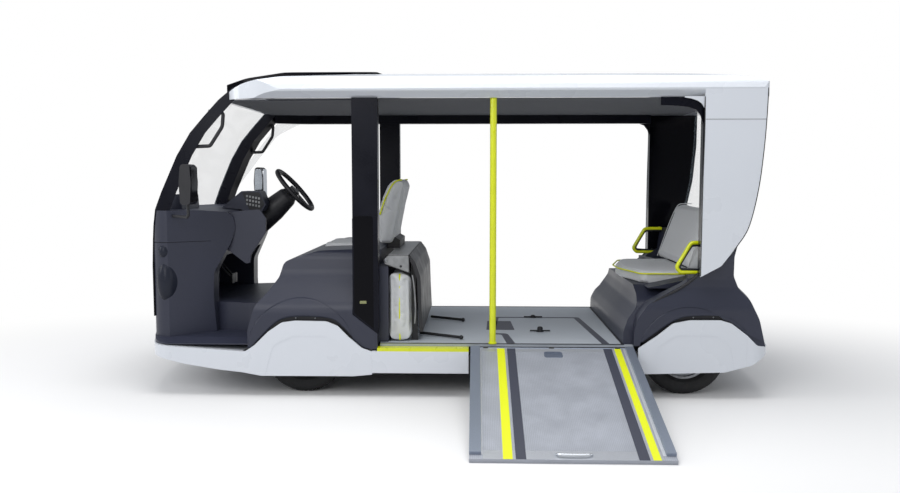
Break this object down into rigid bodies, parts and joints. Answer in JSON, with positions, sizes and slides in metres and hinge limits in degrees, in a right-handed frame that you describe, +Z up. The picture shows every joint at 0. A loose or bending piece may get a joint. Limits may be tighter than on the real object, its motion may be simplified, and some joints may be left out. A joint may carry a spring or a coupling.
{
  "type": "electric people mover",
  "caption": "Open-sided low-floor electric shuttle with a central driver's seat, rear bench, stowed folding bench and a side boarding ramp.",
  "frame": {"origin": "on the ground under the middle of the whole part's box, with the ramp lowered; the vehicle's centreline is at Y 0.532 m", "axes": "+X to the rear of the vehicle along its length, -Y to the boarding side with the ramp, +Z up"},
  "size_m": [3.9359, 2.8748, 2.0009],
  "materials": {
    "black_satin": "satin",
    "yellow_gloss": "gloss",
    "black_gloss": "gloss",
    "dark_steel": "satin",
    "seat_vinyl": "satin",
    "floor_grey": "matt",
    "navy_satin": "satin",
    "painted_white": "gloss",
    "clear_glass": "gloss",
    "ramp_aluminium": "satin",
    "rim_steel": "satin",
    "grey_lining": "matt",
    "tyre": "matt"
  },
  "bodies": {
    "vehicle": {"a_pillars": "black_satin", "armrests": "yellow_gloss", "b_pillars": "black_gloss", "battery_pack": "dark_steel", "bench_cushion": "seat_vinyl", "bench_frame": "dark_steel", "bench_shell": "black_satin", "cabin_floor": "floor_grey", "chassis_frame": "dark_steel", "dash_box": "navy_satin", "driver_back": "seat_vinyl", "driver_cushion": "seat_vinyl", "driver_tub": "navy_satin", "front_axle": "dark_steel", "front_bumper": "painted_white", "front_cowl": "navy_satin", "front_wheel_covers": "painted_white", "grab_handles": "black_satin", "grab_pole": "yellow_gloss", "header_rail": "black_satin", "headlamps": "black_satin", "mirrors": "black_satin", "nose_panel": "black_gloss", "quarter_glasses": "clear_glass", "quarter_linings": "black_gloss", "quarter_panels": "painted_white", "rear_axle": "dark_steel", "rear_back": "seat_vinyl", "rear_bumper": "painted_white", "rear_cushion": "seat_vinyl", "rear_tub": "navy_satin", "rear_wheel_covers": "painted_white", "rear_window": "clear_glass", "roof_front_panel": "black_gloss", "roof_lining": "grey_lining", "roof_shell": "painted_white", "seat_back_frame": "dark_steel", "sill_strip": "yellow_gloss", "sills": "painted_white", "steering_column": "black_satin", "tie_downs": "dark_steel", "windscreen": "clear_glass"},
    "knuckle_left": {"knuckle_left": "dark_steel"},
    "knuckle_right": {"knuckle_right": "dark_steel"},
    "wheel_front_left": {"tyre_front_left": "tyre", "rim_front_left": "rim_steel"},
    "wheel_front_right": {"tyre_front_right": "tyre", "rim_front_right": "rim_steel"},
    "wheel_rear_left": {"tyre_rear_left": "tyre", "rim_rear_left": "rim_steel"},
    "wheel_rear_right": {"tyre_rear_right": "tyre", "rim_rear_right": "rim_steel"},
    "steering_wheel": {"steering_wheel": "black_satin"},
    "ramp": {"ramp_plate": "ramp_aluminium", "ramp_rails": "ramp_aluminium"}
  },
  "joints": [
    {"name": "steer_left", "type": "hinge", "parent": "vehicle", "child": "knuckle_left", "pos_m": [-0.914, 0.03242, 0.254], "axis": [0, 0, 1], "range_deg": [-28, 28]},
    {"name": "steer_right", "type": "hinge", "parent": "vehicle", "child": "knuckle_right", "pos_m": [-0.914, 1.03242, 0.254], "axis": [0, 0, 1], "range_deg": [-28, 28]},
    {"name": "wheel_front_left_spin", "type": "hinge", "parent": "knuckle_left", "child": "wheel_front_left", "pos_m": [-0.914, -0.08958, 0.254], "axis": [0, 1, 0], "continuous": true},
    {"name": "wheel_front_right_spin", "type": "hinge", "parent": "knuckle_right", "child": "wheel_front_right", "pos_m": [-0.914, 1.15442, 0.254], "axis": [0, 1, 0], "continuous": true},
    {"name": "wheel_rear_left_spin", "type": "hinge", "parent": "vehicle", "child": "wheel_rear_left", "pos_m": [1.412, -0.08958, 0.254], "axis": [0, 1, 0], "continuous": true},
    {"name": "wheel_rear_right_spin", "type": "hinge", "parent": "vehicle", "child": "wheel_rear_right", "pos_m": [1.412, 1.15442, 0.254], "axis": [0, 1, 0], "continuous": true},
    {"name": "steering_wheel_turn", "type": "hinge", "parent": "vehicle", "child": "steering_wheel", "pos_m": [-1.105, 0.53242, 1.234], "axis": [0.7547, 0, 0.6561], "range_deg": [-340, 340]},
    {"name": "ramp_hinge", "type": "hinge", "parent": "vehicle", "child": "ramp", "pos_m": [0.11, -0.26758, 0.3], "axis": [-1, 0, 0], "range_deg": [0, 100]}
  ],
  "couplings": [
    {"joint": "steer_right", "follows": "steer_left", "ratio": 1},
    {"joint": "steering_wheel_turn", "follows": "steer_left", "ratio": 12}
  ]
}
